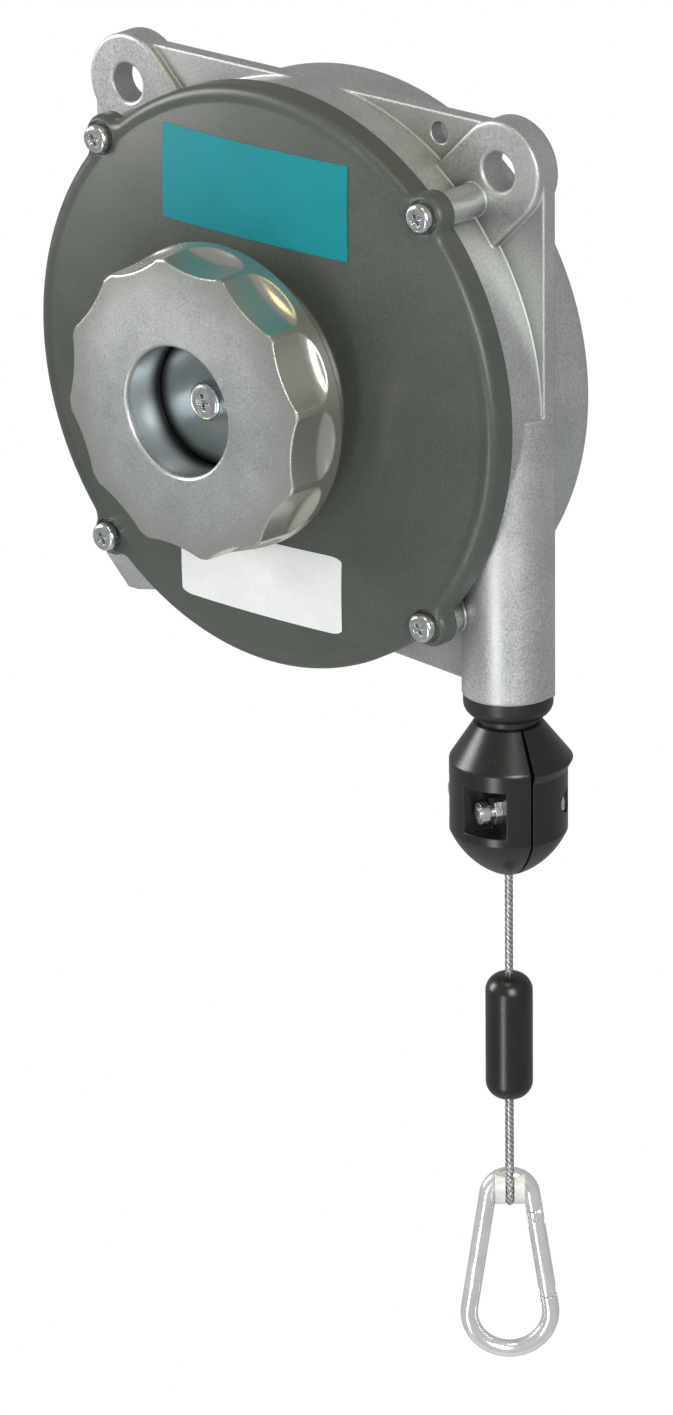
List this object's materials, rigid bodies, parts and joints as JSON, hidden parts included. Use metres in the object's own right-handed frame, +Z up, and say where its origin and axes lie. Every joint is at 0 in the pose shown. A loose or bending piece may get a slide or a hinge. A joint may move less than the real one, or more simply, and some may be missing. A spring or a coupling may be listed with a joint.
{
  "type": "tool balancer",
  "caption": "Tool balancer: cast housing with spring drum, tension knob, retracting steel cable, bumper, stopper and snap hook.",
  "frame": {"origin": "midway between the two hanging holes, on the rear face of their lugs", "axes": "+X to the right as seen from the knob side, towards the cable; +Y to the rear; +Z up, against the cable's pull"},
  "size_m": [0.1447, 0.0713, 0.3143],
  "materials": {
    "casting": "satin cast and painted light grey",
    "cover": "satin dark grey green",
    "steel": "bright zinc",
    "dark_steel": "spring steel",
    "knob": "satin die casting",
    "bumper": "satin black",
    "stopper": "dull dark grey",
    "bush": "satin black",
    "bronze": "plain bearing bronze",
    "drum": "turned casting",
    "cable": "stranded steel",
    "ferrule": "swaged",
    "insert": "natural plastic"
  },
  "bodies": {
    "housing": {"housing": "casting", "front_cover": "cover", "cover_screws": "steel", "outlet_bush": "bush", "front_bush": "bronze", "rear_bush": "bronze", "click_spring": "dark_steel", "click_spring_screw": "steel"},
    "spindle": {"spindle": "steel", "retaining_disc": "steel", "knob_screw": "steel", "spindle_circlip": "dark_steel", "knob_return_spring": "dark_steel"},
    "knob": {"hand_knob": "knob", "ratchet_wheel": "dark_steel"},
    "drum": {"cable_drum": "drum", "drum_lid": "drum", "drum_lid_screws": "steel", "drum_bush_front": "bronze", "drum_bush_rear": "bronze", "mainspring": "dark_steel", "spring_anchor_pin": "steel", "cable_nipple": "ferrule", "wound_cable": "cable"},
    "cable": {"cable_run": "cable", "free_cable": "cable", "bumper_half_left": "bumper", "bumper_half_right": "bumper", "bumper_screws": "steel", "bumper_nuts": "steel", "cable_ferrule": "ferrule", "stopper_sleeve": "stopper", "cable_eye": "cable"},
    "hook": {"snap_hook": "steel", "hook_insert": "insert", "gate_pin": "steel"},
    "gate": {"hook_gate": "steel", "gate_spring": "dark_steel"}
  },
  "joints": [
    {"name": "cable_pull", "type": "slide", "parent": "housing", "child": "cable", "axis": [0, 0, -1], "range_m": [0, 1.6], "stiffness_N_per_m": 2, "springref_m": -4, "deforming": ["cable_run"]},
    {"name": "drum_spin", "type": "hinge", "parent": "housing", "child": "drum", "pos_m": [0, 0, -0.058], "axis": [0, 1, 0], "range_deg": [0, 1570], "deforming": ["mainspring"]},
    {"name": "tension_adjust", "type": "hinge", "parent": "housing", "child": "spindle", "pos_m": [0, 0, -0.058], "axis": [0, 1, 0], "range_deg": [-690, 690], "deforming": ["click_spring"]},
    {"name": "knob_push", "type": "slide", "parent": "spindle", "child": "knob", "axis": [0, 1, 0], "range_m": [0, 0.004], "stiffness_N_per_m": 800, "springref_m": -0.006, "deforming": ["knob_return_spring"]},
    {"name": "hook_swing", "type": "hinge", "parent": "cable", "child": "hook", "pos_m": [0.0584, -0.005, -0.25615], "axis": [0.7547, 0.6561, 0], "range_deg": [-60, 60], "deforming": ["cable_eye"]},
    {"name": "gate_swing", "type": "hinge", "parent": "hook", "child": "gate", "pos_m": [0.06311, -0.0009, -0.26426], "axis": [-0.6561, 0.7547, 0], "range_deg": [0, 28], "stiffness_Nm_per_rad": 0.02, "springref_deg": -28.65, "deforming": ["gate_spring"]}
  ],
  "couplings": [
    {"joint": "drum_spin", "follows": "cable_pull", "rad_per_m": 17.123}
  ]
}
